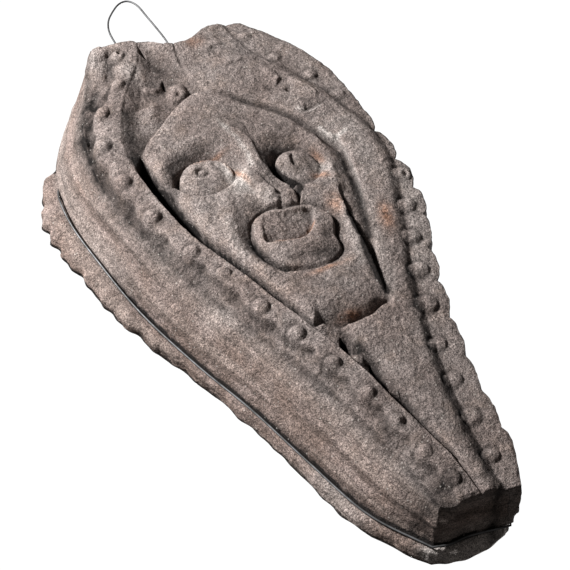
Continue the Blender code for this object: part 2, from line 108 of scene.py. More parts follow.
CHEEK_EDGE = [(54, 84), (52, 70), (50, 57), (47, 42), (44, 30), (40, 18), (38, 6), (36, -6), (35, -18),
    (33, -34), (31, -52), (29, -70), (27, -86), (24, -98)]
LOWER_LID = [(-97, 97), (-88, 92), (-80, 86), (-74, 77), (-65, 68), (-46, 61), (-29, 49)]
NOSE_LINE = [(4, 56), (-1, 66), (-4, 78), (-2, 92), (-1, 105), (-3, 130)]
FACE_AXIS = -14
MOUTH_CENTRE = (-14, -10)

# How the face is hollowed round a raised shape: direction in degrees, counter-clockwise from the
# right; how far the hollow reaches; its depth; and the width of the trench against the shape.
LEFT_SOCKET = [(0, 15, 9, 1.5), (30, 17, 10, 0), (48, 22, 12, 1), (65, 25, 15, 2), (81, 25, 16, 3),
    (100, 24, 16, 4), (117, 22, 14, 5), (143, 18, 12, 5.5), (175, 15, 10, 5.5), (205, 10, 5, 5),
    (225, 5, 2, 3), (245, 4, 1, 1), (290, 3, 1, 1), (325, 10, 6, 1)]
RIGHT_SOCKET = [(0, 16, 8, 1), (40, 16, 8, 1), (65, 21, 11, 1), (90, 24, 13, 2.5), (115, 24, 13, 5),
    (140, 18, 10, 7.5), (160, 10, 6, 8.5), (185, 7, 3, 8), (215, 7, 3, 7), (260, 5, 3, 3), (300, 5, 3, 2),
    (330, 10, 5, 1)]
ROUND_MOUTH = [(0, 19, 7, 2.2), (20, 18, 6, 2), (45, 9, 3, 2), (75, 3, 1, 1.5), (90, 4, 1, 2),
    (102, 13, 4, 3), (125, 17, 6.5, 3), (148, 18, 8, 2), (180, 18, 8, 1.5), (205, 15, 8, 4), (230, 10, 5, 5),
    (255, 5, 2, 2.5), (280, 7, 2, 1), (310, 11, 4, 1), (335, 16, 6, 2.5)]
# Each eye: centre, radii, height of its rim, and its socket.
LEFT_EYE = ((-51, 86), (23.5, 21.5), 7, LEFT_SOCKET)
RIGHT_EYE = ((23.5, 65), (18.5, 22), 5, RIGHT_SOCKET)

# Stains, painted shade and painted light. A spot is its centre, two radii and strength, and its tilt in
# degrees if it has one;
# a stroke is its path, half width and strength.
RUST_SPOTS = [(-26, 76, 2.5, 15, 0.8, 10), (-42, 107, 13, 2.5, 0.8), (36, 46, 7, 4, 0.6, -35),
    (45, 68, 3, 9, 0.45, 10), (32, 11, 7, 10, 0.5), (64, -18, 6, 13, 0.6, -15),
    (-10, -97, 10, 3, 0.7, -5), (8, 243, 8, 8, 0.3), (-5, -50, 14, 3, 0.55)]
# The first two pale spots, on the plane between the left eye and the nose and on the nose's tip, are partly
# paler stone and partly painted light where these face the lamp.
PALE_SPOTS = [(-29, 73, 6, 18, 1.8, 8), (-18, 36, 9, 13, 0.4), (-36, 58, 6, 9, 0.4),
    (42, 54, 8, 10, 0.5), (-98, -34, 12, 20, 0.15), (-114, 40, 9, 20, 0.15),
    (96, 6, 9, 15, 0.25), (-57, 237, 9, 12, 0.3), (88, 178, 10, 12, 0.2),
    (-80, 272, 6, 14, 0.3)]
RUST_LINE = [(-34, -8), (-25, -11), (-14, -13), (-4, -10), (3, -4)]
FLANGE_PALE = [(-75, -200, 16, 34, 0.5), (-48, -287, 11, 9, 1)]
PALE_STROKES = [([(61, 96), (64, 87), (68, 80), (79, 84)], 2, 1.2),
    ([(68, 80), (69, 68), (66, 50), (62, 29), (53, 0)], 1.3, 0.45),
    ([(34, 10), (33, -10), (30, -30), (22, -55)], 6, 0.3), ([(84, 96), (84, 60), (80, 30)], 9, 0.18),
    ([(-57, 26), (-60, 10), (-59, -8)], 5, 0.2), ([(60, 0), (50, -22), (38, -60), (30, -90)], 7, 0.2),
    ([(54, 125), (62, 119), (72, 121)], 2, 0.6)]
CHALKY_BRIDGE = [(-15, 141), (-13, 124), (-11, 108), (-11, 92), (-14, 76)]
# Dark strokes, mostly painted shade, with some grime mixed in: under the left brow, above the right eye, in
# the mouth's trench, beside the nose, along the hairline, beside the cheek, in the stem's valley and in the
# gully.
PAINTED_SHADE_AND_GRIME_STROKES = [([(-85, 80), (-82, 98), (-73, 111), (-60, 118), (-44, 119)], 6, 0.65),
    ([(-2, 58), (-2, 74), (4, 88), (16, 92), (30, 90)], 5, 0.6),
    ([(37, -2), (35, -18), (32, -38), (29, -58), (27, -74), (26, -90)], 3, 1.5),
    ([(64, 66), (61, 50), (59, 34), (56, 17), (51, -2), (47, -14), (43, -30)], 4.2, 0.85),
    ([(29, -40), (26, -56), (24, -72), (22, -86)], 3.5, 0.5), ([(-66, 52), (-70, 34), (-71, 14)], 6, 0.15),
    ([(-129, 62), (-125, 34), (-120, 2), (-113, -28)], 6, 0.15),
    ([(-49, 6), (-49, -5), (-47, -17), (-43, -28), (-36, -36)], 2.4, 1.6),
    ([(4, 77), (5, 67), (8, 57), (12, 50), (15, 45), (12, 36)], 3, 1.5),
    ([(9, 167), (22, 151), (37, 135), (49, 115), (57, 98)], 1.8, 0.6),
    ([(-24, -110), (-19, -132), (-16, -150), (-13, -180), (-9, -212)], 4.5, 0.7),
    ([(-99, 232), (-110, 214), (-120, 190), (-126, 160), (-126, 128)], 6, 0.35),
    ([(-81, 190), (-86, 172), (-92, 156), (-96, 136)], 5.5, 0.75),
    ([(-39, 246), (-34, 232), (-42, 216)], 6, 0.4)]
# Dark spots, mostly painted shade, with some grime mixed in: in the right socket, under the lip, beside the
# nose and at the lower end.
PAINTED_SHADE_AND_GRIME_SPOTS = [(23, 66, 15, 16, 0.3), (-3, -35, 11, 8, 0.75), (8, 8, 8, 5, 0.2),
    (-15, 142, 16, 10, 0.12), (57, 84, 6, 10, 0.2), (8, -62, 10, 12, 0.15),
    (-27, -270, 10, 7, 0.3), (-55, -140, 14, 20, 0.2), (-37, -200, 7, 9, 0.4),
    (-22, -266, 15, 12, 0.65), (-13, -65, 10, 9, 0.32), (-21, -92, 9, 7, 0.45),
    (-30, 234, 10, 14, 0.4), (-68, 258, 5, 8, 0.3), (-8, 132, 16, 24, 0.2),
    (4, 10, 7, 6, 0.3), (-84, 152, 6, 12, 0.5), (-20, 218, 8, 10, 0.35), (-33, 37, 7, 6, 0.5),
    (-72, 98, 6, 12, 0.2), (-18, -130, 5, 9, 0.5), (5, -218, 8, 22, 0.2),
    (31, 60, 7, 12, 0.4), (6, -36, 8, 7, 0.4), (36, 104, 8, 9, 0.25), (-142, 52, 9, 30, 0.2),
    (-135, 0, 8, 22, 0.2), (-41, 210, 11, 7, 0.35), (-97, 221, 9, 9, 0.3),
    (-32, 121, 16, 6, 0.2), (32, 108, 13, 7, 0.2)]
PATCHY_GRIME = [(-97, 226, 13, 9, 1), (-122, 190, 9, 10, 1), (-70, 255, 5, 9, 1),
    (-52, -138, 8, 12, 1), (-40, -204, 7, 10, 1), (-33, -238, 8, 9, 1), (-95, -4, 5, 9, 1),
    (-64, -84, 6, 12, 1), (-118, 92, 5, 14, 1)]

# View and light. Distances here are in metres.
VIEW_TILT, VIEW_TURN = math.radians(50.0), math.radians(26.2)
VIEW_CENTRE = Vector((-0.020, -0.067, 0.0))
VIEW_DISTANCE, VIEW_DROP = 1.394, 0.0369
LENS, SENSOR = 107.4, 36.0
KEY_DISTANCE, KEY_SIZE, KEY_POWER = 1.75, 0.27, 66.0
# Each fill: name, direction it shines from, and strength.
FILLS = [("back_fill", (0.3, 0.85, 0.4), 1.6), ("side_fill", (0.75, 0.6, 0.25), 1.0)]
FILL_ANGLE = math.radians(25.0)
ROOM_COLOUR, ROOM_STRENGTH = (1.0, 0.97, 0.95, 1.0), 0.085
BACKDROP_STRENGTH = 1.05
FLOOR_SIZE, FLOOR_LEVEL = 6.0, -1.3


# ------ curves and noise

def ease(x):
    """A smooth step, 0 up to x = 0 and 1 from x = 1."""
    x = np.clip(x, 0, 1)
    return x * x * (3 - 2 * x)


def ramp(x, start, end):
    """0 at the start, 1 at the end, which may lie either way from it."""
    return ease((x - start) / (end - start))


def rise(distance, width):
    """0 on the near side of an edge, 1 on its far side, over the width given."""
    return ease(distance / width + 0.5)


def blend(below, above, amount):
    return below + (above - below) * amount


def bell(x, width):
    """1 at 0, falling to 0 on both sides at about twice the width."""
    return np.exp(-(x / width) ** 2)


def hermite(t, start, end, start_slope, end_slope):
    """A smooth step from start to end, with the slopes given at its ends."""
    t2, t3 = t * t, t * t * t
    return ((2 * t3 - 3 * t2 + 1) * start + (t3 - 2 * t2 + t) * start_slope
            + (3 * t2 - 2 * t3) * end + (t3 - t2) * end_slope)


def line_at(v, points):
    """The u of a smooth line through (u, v) points that climb in v."""
    points = np.array(points, dtype=float)
    order = np.argsort(points[:, 1])
    values, knots = points[order, 0], points[order, 1]
    slopes = np.gradient(values, knots)
    i = np.clip(np.searchsorted(knots, v) - 1, 0, len(knots) - 2)
    span = knots[i + 1] - knots[i]
    t = np.clip((v - knots[i]) / span, 0, 1)
    return hermite(t, values[i], values[i + 1], span * slopes[i], span * slopes[i + 1])


def curve(points, t):
    """Points at t, from 0 to 1, on a smooth curve through the points."""
    points = np.array(points, dtype=float)
    last = len(points) - 1
    slopes = np.gradient(points, axis=0)
    i = np.clip((t * last).astype(int), 0, last - 1)
    return hermite((t * last - i)[..., None], points[i], points[i + 1], slopes[i], slopes[i + 1])


def drawn(points, count):
    """Evenly spread points on a smooth curve through the points."""
    return curve(points, np.linspace(0, 1, count))


def nearest_on(u, v, path):
    """Distance to a broken line, positive on its left as the points run, and how far along it."""
    nearest = np.full(np.shape(u), 1e9)
    offset, along = np.zeros(np.shape(u)), np.zeros(np.shape(u))
    lengths = [np.hypot(b[0] - a[0], b[1] - a[1]) for a, b in zip(path[:-1], path[1:])]
    whole, passed = sum(lengths), 0
    for (u0, v0), (u1, v1), length in zip(path[:-1], path[1:], lengths):
        du, dv = u1 - u0, v1 - v0
        t = np.clip(((u - u0) * du + (v - v0) * dv) / length ** 2, 0, 1)
        away = np.hypot(u - u0 - t * du, v - v0 - t * dv)
        square = (du * (v - v0) - dv * (u - u0)) / length
        closer = away < nearest - 1e-6
        tied = (away < nearest + 1e-6) & (np.abs(square) > np.abs(offset))
        offset = np.where(closer | tied, square, offset)
        along = np.where(closer, (passed + t * length) / whole, along)
        nearest = np.minimum(nearest, away)
        passed += length
    return nearest * np.where(offset < 0, -1, 1), along


def side_of(u, v, path):
    return nearest_on(u, v, path)[0]


def stroke(u, v, path, half_width):
    """1 along a path, falling to 0 at about twice its half width."""
    return bell(side_of(u, v, path), half_width)


def slit(u, v, path, half_width):
    """1 along a path, falling to 0 at its half width, and tapered to its ends."""
    across, along = nearest_on(u, v, path)
    width = half_width * (0.25 + 0.75 * ease(np.minimum(along, 1 - along) / 0.3))
    return 1 - ease(np.abs(across) / width)


def bank(u, v, path, tall, reach, width=2):
    """A low bank, sheer on the right of its path, easing off on its left and at its ends."""
    across, along = nearest_on(u, v, path)
    ends = ease(np.minimum(along, 1 - along) / 0.3)
    return tall * ends * rise(across, width) * bell(np.maximum(across, 0), reach)


def turned(u, v, centre, tilt):
    """Places from a centre, along and across a direction that is tilted in degrees."""
    turn = np.radians(tilt)
    du, dv = u - centre[0], v - centre[1]
    return du * np.cos(turn) + dv * np.sin(turn), dv * np.cos(turn) - du * np.sin(turn)


def dome(u, v, centre, radii, tilt=0):
    """Half an egg, 1 at its centre and 0 outside its radii."""
    along, across = turned(u, v, centre, tilt)
    return np.sqrt(np.clip(1 - (along / radii[0]) ** 2 - (across / radii[1]) ** 2, 0, 1))


def spot(u, v, centre, radii, tilt=0):
    """1 at a centre, falling to 0 at about twice the radii."""
    along, across = turned(u, v, centre, tilt)
    return np.exp(-(along / radii[0]) ** 2 - (across / radii[1]) ** 2)


def spots(u, v, table):
    """Spots added up, each a centre, two radii and an amount, and a tilt if it has one."""
    return sum(amount * spot(u, v, (x, y), (wide, tall), *tilt) for x, y, wide, tall, amount, *tilt in table)


def strokes(u, v, table):
    """Strokes added up, each a path, a half width and an amount."""
    return sum(amount * stroke(u, v, path, half_width) for path, half_width, amount in table)


def slits(u, v, table):
    """Slits added up, each a path, a half width and a depth."""
    return sum(deep * slit(u, v, path, half_width) for path, half_width, deep in table)


def noise(x, y, z, seed):
    """Smooth noise between about -1 and 1, with one bump to a unit."""
    draw = np.random.default_rng(seed)
    shuffle = draw.permutation(256)
    gradients = draw.normal(size=(256, 3))
    gradients /= np.linalg.norm(gradients, axis=1)[:, None]
    cell = [np.floor(a).astype(int) for a in (x, y, z)]
    part = [a - c for a, c in zip((x, y, z), cell)]
    fade = [p * p * p * (p * (p * 6 - 15) + 10) for p in part]
    total = 0
    for corner in np.ndindex(2, 2, 2):
        pick = 0
        for number, step in zip(cell, corner):
            pick = shuffle[(pick + number + step) & 255]
        slopes = np.moveaxis(gradients[pick], -1, 0)
        lean = sum(slope * (p - step) for slope, p, step in zip(slopes, part, corner))
        total = total + lean * np.prod([f if step else 1 - f for f, step in zip(fade, corner)], axis=0)
    return total * 1.6


def rough(u, v, size, seed, octaves=3):
    """Noise on the carving's plane whose largest bumps have the size given."""
    total, weight = 0, 1
    for octave in range(octaves):
        scale = 2 ** octave / size
        total = total + weight * noise(u * scale, v * scale, 0 * u, seed + octave)
        weight *= 0.5
    return total


# ------ the carving

def pearl_phase(v, pearls):
    """0 beside a pearl, 1 halfway to the next."""
    heights = np.array([p[1] for p in pearls], dtype=float)
    place = np.interp(v, heights, np.arange(len(heights)))
    part = place - np.floor(place)
    return 2 * np.minimum(part, 1 - part)


def border(u, v):
    """The flat ledge, its left band, and the worn coves outside the left pearls."""
    wander = rough(u, v, 22, 11)
    pearl_line = line_at(v, LEFT_PEARLS)
    between = pearl_phase(v, LEFT_PEARLS)
    upper = ramp(v, -130, -70)
    out = pearl_line - blend(5, 7, upper) + 5.5 * between ** 2 + 1.2 * wander - u
    band_width = np.maximum(line_at(v, BAND_EDGE) - pearl_line, 6)
    across = np.clip((u - pearl_line + 6) / (band_width + 6), 0, 1)
    band = 2.5 + 4 * np.sin(0.72 * np.pi * across ** 0.8) - 1.5 * ramp(across, 0.9, 1)
    hollowed = (4 + 2.5 * ramp(v, 20, 80)) * upper * (1 - 0.8 * ramp(v, 190, 230))
    cove = hollowed * bell(out - 4, 6) * (0.5 + 0.5 * between)
    margin = -1.5 - 0.32 * np.maximum(out, 0) - cove + 1.6 * wander + 6 * ramp(v, 250, 275)
    left = blend(band, margin, rise(out, 2.5))
    return blend(left, 2 + 0.6 * wander, rise(u - line_at(v, BAND_EDGE) - 6, 8))


def pearls(u, v, ground):
    """Half-round beads standing on the ground, each worn to its own shape."""
    draw = np.random.default_rng(7)
    for *centre, radius in LEFT_PEARLS + RIGHT_PEARLS:
        tall, squash = draw.uniform(0.36, 0.46) * radius, draw.uniform(0.85, 1)
        tall = tall * (1.35 if centre[0] < -30 else 0.9)
        turn = draw.uniform(-0.7, 0.7)
        if radius > 0:
            along, across = turned(u, v, centre, np.degrees(turn))
            away = np.hypot(along, across / squash) / radius
            ground += tall * np.clip(1 - away ** 2, 0, 1) ** 0.9
            ground -= 0.6 * bell(away - 1.1, 0.15)
    return ground - 6 * spot(u, v, (-57, 263), (2, 3.5), -20) - 4 * spot(u, v, (-22, -206), (3, 2.5))


def flank(u, v, top):
    """Cuts a raised surface down to the ledge along the steep outer side of the stem."""
    outer = line_at(v, ROLL_OUTER) + 1.2 * rough(u, v, 30, 13, 2)
    side = 2 + 0.75 * (outer - u)
    return -1.5 * np.log(np.exp(-top / 1.5) + np.exp(-np.clip(side, -60, 60) / 1.5))


def roll(u, v):
    """The thick stem down the right side."""
    inner = line_at(v, ROLL_INNER)
    crest = 7.5 + 0.8 * ramp(v, -120, 40)
    top = crest - 1.5 * (1 - ease((u - inner) / 4)) - 0.06 * np.maximum(u - inner - 9, 0)
    return flank(u, v, top)


def field(u, v):
    """The plain tapering field under the chin, with the broken gully along its left side."""
    gully, outer = line_at(v, FIELD_EDGE), line_at(v, ROLL_OUTER)
    across = np.clip((u - gully) / np.maximum(outer - gully, 6), 0, 1)
    top = 6 + 2 * np.sin(np.pi * across ** 0.8)
    top += 0.9 * stroke(u, v, [(-7, -126), (0, -126), (8, -128), (14, -132), (19, -140)], 1.2)
    top -= bank(u, v, [(29, -118), (28, -108), (21, -100), (16, -100)], 1, 8)
    top += bank(u, v, [(-10, -178), (0, -183), (10, -164), (-1, -158)], 1.2, 9)
    floor = -3 - 4 * ramp(v, -262, -202) + 2 * noise(u / 4, v / 13, 0 * u, 87)
    floor += 9 * spot(u, v, (-21, -134), (7, 7)) + 8 * spot(u, v, (-13, -173), (5, 6))
    floor -= slits(u, v, [([(-25, -109), (-25, -125)], 4, 15),
        ([(-17, -142), (-16, -158), (-17, -171)], 3.4, 13),
        ([(-11, -178), (-10, -188), (-10, -198)], 2.2, 8), ([(-13, -195), (-12, -204)], 1.4, 7)])
    surface = blend(floor, top, rise(u - gully + 1, 6))
    surface -= 4 * slit(u, v, [(-9, -210), (-7, -226), (-4, -240), (0, -258)], 2.2)
    return flank(u, v, surface)


def socket(face, gap, angle, table):
    """Hollows the face round a raised shape, with a trench against the shape."""
    directions, *columns = zip(*table)
    reach, deep, trench = (np.interp(angle, directions, column, period=360) for column in columns)
    bowl = deep * (1 - np.clip(gap / reach, 0, 1)) ** 1.5
    return face - bowl - 1.35 * trench * (1 - ease((gap - 0.2 * trench) / (0.8 * trench + 0.3)))


def eye(u, v, face, shape):
    """A button eye in its socket."""
    centre, radii, top, table = shape
    du, dv = (u - centre[0]) / radii[0], (v - centre[1]) / radii[1]
    away = np.hypot(du, dv)
    gap = (away - 1) * 0.5 * (radii[0] + radii[1])
    angle = np.degrees(np.arctan2(dv, du))
    hollow = socket(face, gap, angle, table)
    button = top + 3.6 * (1 - np.minimum(away, 1) ** 2)
    return blend(hollow, np.maximum(face - 20, button), rise(-gap, 2.2))


def pupils(u, v, face):
    """The drilled and battered middles of the eyes."""
    ring = np.hypot(u + 52, (v - 92) * 0.9)
    face -= 3.2 * bell(ring - 4.2, 1.7)
    face += spots(u, v, [(-52, 92, 3, 3, -1), (-43, 84, 2.4, 5, 1.6, 10), (-60, 80, 5, 4, 1),
        (-50, 76, 6, 3, -1), (25, 61, 2.6, 2.2, -1.6)])
    face -= 1.8 * stroke(u, v, [(-39, 96), (-35, 84)], 2.6)
    return face - 4 * slit(u, v, [(26, 82), (24, 75), (22, 66)], 3.2)


def nose(u, v, face):
    """A short bridge, sheer on its right, down to a blunt tip with one whole wing."""
    crest = line_at(v, [(-19, 48), (-14, 66), (-11, 85), (-10, 106), (-12, 125), (-15, 145)])
    fade = ramp(v, 155, 100) * ramp(v, 54, 72)
    face += 3 * fade * bell(u - crest, 12)
    face += bank(u, v, NOSE_LINE, 2, 9)
    face -= slit(u, v, [(4, 132), (2, 114), (3, 100)], 1.8)
    wing = np.hypot((u + 3) / 11.5, (v - 34) / 13)
    face = blend(face, 9.5 + 5 * dome(u, v, (-3, 34), (11.5, 13)), rise((1 - wing) * 9, 2.5))
    face -= 8 * slit(u, v, [(3, 68), (5, 59), (7, 50), (9, 41), (9, 32), (4, 22)], 3.2)
    tip = np.hypot((u + 16) / 10.5, (v - 41) / 15)
    face = blend(face, 11.5 + 6 * dome(u, v, (-16, 41), (10.5, 15)), rise((1 - tip) * 9, 2.5))
    face -= 2.6 * slit(u, v, [(-12, 67), (-9, 58), (-7, 48), (-8, 38)], 2)
    return face + 1.1 * rough(u, v, 4.5, 23, 2) * np.exp(-(np.minimum(tip, wing) / 0.9) ** 4)


def mouth(u, v, face):
    """A ring of lips standing clear of the cheeks, blocked by a squared tongue."""
    rim = side_of(u, v, drawn(LIPS + LIPS[:1], 82))
    angle = np.degrees(np.arctan2(v - MOUTH_CENTRE[1], u - MOUTH_CENTRE[0]))
    face = socket(face, np.maximum(-rim, 0), angle, ROUND_MOUTH)
    left_lips = 10 + 6 * np.sqrt(ease(rim / 11))
    right_lips = 10.2 + 4.8 * np.clip(rim / 15, 0, 1) ** 0.9
    lips = blend(left_lips, right_lips, ease((u + 4 + 2 * np.maximum(-28 - v, 0)) / 16))
    low = ramp(v, -22, -34) * ramp(u, 8, -4)
    lips = blend(lips, 11 + 3.5 * np.clip(rim / 14, 0, 1) ** 0.8, low)
    lips -= spot(u, v, (14, -30), (8, 12), 40)
    inside = side_of(u, v, drawn(MOUTH_INSIDE + MOUTH_INSIDE[:1], 43))
    tongue = 11.5 - 0.16 * (u + 14) + 0.14 * (v - 4) + 1.1 * noise(u / 3, v / 9, 0 * u, 17)
    tongue -= 2.5 * ramp(u, -22, -34)
    lips = blend(lips, np.minimum(tongue, lips - 0.5), rise(inside, 3.5))
    lips -= 1.6 * stroke(u, v, TONGUE_EDGE, 1.3)
    return blend(face, lips, rise(rim, 2.4))


def face_surface(u, v):
    """The mask itself: domed, with nose, eyes, cheek folds, ring mouth and chin."""
    side = (u - FACE_AXIS) / 82
    face = 12.5 - 5.5 * side ** 2 - 3 * ((v - 40) / 130) ** 2
    face += 3.5 * spot(u, v, (-8, -72), (26, 18))
    above_lid = side_of(u, v, LOWER_LID)
    left = eye(u, v, face, LEFT_EYE)
    cheek = face + 1.2 * bell(above_lid, 5)
    (eye_u, eye_v), (eye_wide, eye_tall) = LEFT_EYE[:2]
    in_ball = np.hypot((u - eye_u) / eye_wide, (v - eye_v) / eye_tall) < 1.02
    cheek -= 2.2 * slit(u, v, [(-80, 84), (-74, 75), (-65, 67), (-47, 61), (-33, 55)], 2)
    face = np.where(in_ball, left, blend(cheek, left, rise(above_lid, 2.5)))
    face = eye(u, v, face, RIGHT_EYE)
    face = nose(u, v, face)
    face = pupils(u, v, face)
    face += 2.8 * stroke(u, v, [(-49, 50), (-57, 31), (-61, 8), (-59, -11), (-50, -28)], 8)
    face = mouth(u, v, face)
    under = ramp(chin_depth(u, v), 17, 0) * ramp(u, -42, -28)
    face -= (6 - 3 * ramp(u, -2, 12)) * under ** 1.3
    return beyond_cheek(u, v, face - 2.2 * spot(u, v, (-14, -88), (12, 6), -5))


def beyond_cheek(u, v, face):
    """The fall from the mask's right edge into the furrowed valley beside the stem."""
    out = side_of(u, v, drawn(CHEEK_EDGE, 40))
    out += rough(u, v, 18, 19, 2)
    slope = 0.38 * np.maximum(out, 0)
    lower = ramp(v, -14, -60)
    groove = (3 + 3 * lower) * bell(out - 1.6 - lower, 1.2 + 1.4 * lower) * (out > 0)
    cliff = (3 + 6 * lower) * ease(out / 2.4) + groove
    cliff += 0.2 * np.clip(out - 3, 0, 14)
    ribs = 0.9 * noise(out / 3, v / 22, 0 * u, 27) * (out > 0)
    lip = (1.6 - 1.2 * ramp(v, 6, 31)) * bell(np.minimum(out, 0), 6)
    drop = blend(cliff - ribs, slope - 0.5 * ribs, ramp(v, 6, 36))
    return face + (lip * (1 - ease(out / 3)) - drop) * ramp(v, 100, 84)


def chin_depth(u, v):
    """Distance above the chin's lower edge."""
    return v + 102 - 0.03 * np.clip(-12 - u, 0, 20) ** 2 - 6 * ramp(u, 2, 20)


def inside_mask(u, v):
    """Distance inside the mask's left side and chin, negative in the slot beside them."""
    slot = 3 + 6.5 * ramp(v, -60, 100) + 14 * ramp(v, 142, 168)
    return np.minimum(u - line_at(v, BAND_EDGE) - slot, chin_depth(u, v))


def leaves(u, v):
    """Low leaves over the mask: small ones on the left, one broad lobe on the right."""
    outer = line_at(v, ROLL_OUTER)
    broad = 9.5 + 1.2 * np.cos((u - 30) / 14) * np.cos((v - 200) / 16)
    broad -= 3.5 * ease((u - outer + 26) / 24) * ramp(v, 165, 195)
    for path, tall, reach in (
            ([(42, 158), (50, 160), (57, 166), (56, 175), (50, 188)], 2.6, 14),
            ([(18, 199), (26, 202), (38, 199)], 2.2, 9),
            ([(75, 127), (78, 137), (76, 150), (66, 166)], 2.6, 16),
            ([(80, 90), (74, 82), (67, 84), (60, 90)], 3.6, 20),
            ([(12, 218), (14, 226), (21, 231), (34, 231)], 1.6, 8)):
        broad += bank(u, v, path, tall, reach)
    broad -= bank(u, v, [(54, 124), (58, 119), (66, 120), (76, 122), (85, 114)], 2.6, 8)
    broad -= spots(u, v, [(57, 150, 2.2, 2.6, 5), (43, 161, 4, 4, 2.6)])
    broad -= slits(u, v, [([(5, 175), (7, 164), (13, 156)], 2.4, 1.8),
        ([(20, 158), (22, 149), (26, 139)], 2.4, 1.8)])

    small = -8 + 6 * ramp(v, 150, 180)
    small += bank(u, v, [(-52, 212), (-50, 222), (-44, 234), (-39, 248), (-35, 268)], 6, 26, 14)
    small += bank(u, v, [(-68, 172), (-58, 178), (-50, 192), (-54, 200)], 4, 20, 10)
    small += 7 * dome(u, v, (-30, 196), (10, 13), -20)
    small += 5 * ramp(u, -28, -16) * ramp(v, 196, 216)
    small += 5 * stroke(u, v, [(-52, 214), (-46, 209), (-41, 210)], 2.6)
    small = np.maximum(small, 4.5 - 0.5 * (u - line_at(v, BAND_EDGE)))
    height = blend(small, broad, rise(u + 19 + 0.25 * (v - 215), 12))
    height -= slits(u, v, [([(-30, 246), (-24, 236), (-20, 222), (-19, 200)], 3.6, 2),
        ([(-9, 252), (-12, 236), (-14, 220), (-16, 196)], 3.2, 1.5),
        ([(-34, 219), (-36, 213), (-37, 207)], 2.6, 10), ([(-41, 268), (-39, 257), (-37, 249)], 3, 5)])
    return height - 3.5 * spot(u, v, (-30, 193), (2.4, 2.2))


def corner(u, v, height):
    """The broken top left corner of the border."""
    height += 3 * dome(u, v, (-72, 276), (8, 9)) + 2 * dome(u, v, (-80, 254), (5, 6))
    hollowed = strokes(u, v, [([(-64, 268), (-69, 257), (-74, 246)], 6.5, 2.5),
        ([(-99, 219), (-98, 228), (-92, 237)], 5, 5.5), ([(-108, 213), (-113, 197), (-117, 181)], 5, 3)])
    return height - hollowed - 4 * spot(u, v, (-85, 227), (5, 5))


def carving(u, v):
    """Height of the finished front at (u, v)."""
    band_edge = line_at(v, BAND_EDGE)
    depth = inside_mask(u, v)
    face = face_surface(u, v) - 3.5 * (1 - ramp(depth, 0, 9)) ** 1.5
    slot_floor = -28 + 26 * ramp(v, -60, -84)
    fluted = 3 - 0.5 * np.maximum(u - band_edge, 0) + 0.9 * noise(u / 4, v / 16, 0 * u, 37)
    slot_floor = blend(slot_floor, fluted, ramp(v, 128, 152))
    mask = blend(slot_floor, face, rise(depth - 0.5, 3))

    above_brow = side_of(u, v, drawn(HAIRLINE, 43))
    right_brow = ramp(u, -6, 10)
    on_brow = ramp(above_brow, -9, 0) * (depth > 0) * (1 - ramp(u, -30, -60))
    mask -= (1.2 + 3.2 * right_brow) * on_brow
    mask = blend(mask, leaves(u, v), rise(above_brow - 1, 4 - 2 * right_brow))

    stem = blend(field(u, v), roll(u, v), ramp(v, -120, -80))
    stem = blend(stem, flank(u, v, mask), ramp(v, 84, 110))
    mask_side = np.minimum(line_at(v, ROLL_INNER) - u, chin_depth(u, v) + 2.5)
    inner = blend(stem, flank(u, v, mask), rise(mask_side, 4))
    ledge = border(u, v)
    inner = blend(inner, ledge, rise(u - line_at(v, ROLL_OUTER) - 1, 3))
    height = blend(ledge, inner, rise(u - band_edge, 3))
    height = corner(u, v, pearls(u, v, height))
    height -= 3.5 * spot(u, v, (103, 20), (2.2, 2.6))
    coarse = 0.9 * rough(u, v, 30, 31, 2) + 0.55 * rough(u, v, 9, 41, 2)
    return height + coarse + 0.38 * noise(u / 3.2, v / 3.2, height / 3.2, 43)


# ------ the block

def lobes(line, pearls_beside, deep):
    """Moves an outline in between its pearls, so that it bulges beside each one."""
    run = np.gradient(line, axis=0)
    run /= np.linalg.norm(run, axis=1)[:, None]
    out = np.column_stack((run[:, 1], -run[:, 0]))
    notch = 1 - np.sqrt(np.clip(1 - 0.98 * pearl_phase(line[:, 1], pearls_beside) ** 2, 0, 1))
    u, v = line.T
    worn = (deep * blend(0.35, 1, ramp(v, -190, -100)) + 1) * ramp(v, 120, 90)
    ragged = 1.3 * rough(u, v, 16, 51)
    ends = ramp(v, -290, -270) * ramp(v, 248, 228)
    return line + (ends * (ragged - notch * worn))[:, None] * out


def front_plan(s, t):
    """Maps the unit square onto the front, edge to edge."""
    left = curve(LEFT["front"], t)
    right = lobes(curve(RIGHT["front"], t), RIGHT_PEARLS, 6.5)
    bottom, top = curve(BOTTOM["front"], s), curve(TOP["front"], s)
    corners = [np.array(side, dtype=float) for side in
               (LEFT["front"][0], RIGHT["front"][0], LEFT["front"][-1], RIGHT["front"][-1])]
    s, t = s[None, :, None], t[:, None, None]
    bilinear = ((1 - s) * (1 - t) * corners[0] + s * (1 - t) * corners[1]
                + (1 - s) * t * corners[2] + s * t * corners[3])
    return ((1 - s) * left[:, None] + s * right[:, None]
            + (1 - t) * bottom[None] + t * top[None] - bilinear)


def rim_plan(level, s, t):
    """The outline at the foot or the flange, for points on the unit square's border."""
    sides = np.where((s <= 0)[:, None], curve(LEFT[level], t), curve(RIGHT[level], t))
    ends = np.where((t <= 0)[:, None], curve(BOTTOM[level], s), curve(TOP[level], s))
    return np.where(((t <= 0) | (t >= 1))[:, None], ends, sides)


def place(plan, height):
    """Millimetres on the carving to metres in space."""
    return np.column_stack((plan[:, 0], -(LEDGE_DEPTH + height), plan[:, 1])) * MM


def border_order(grid):
    """The grid's outermost points, counter-clockwise from the lower left."""
    return np.concatenate((grid[0, :-1], grid[:-1, -1], grid[-1, :0:-1], grid[:0:-1, 0]))


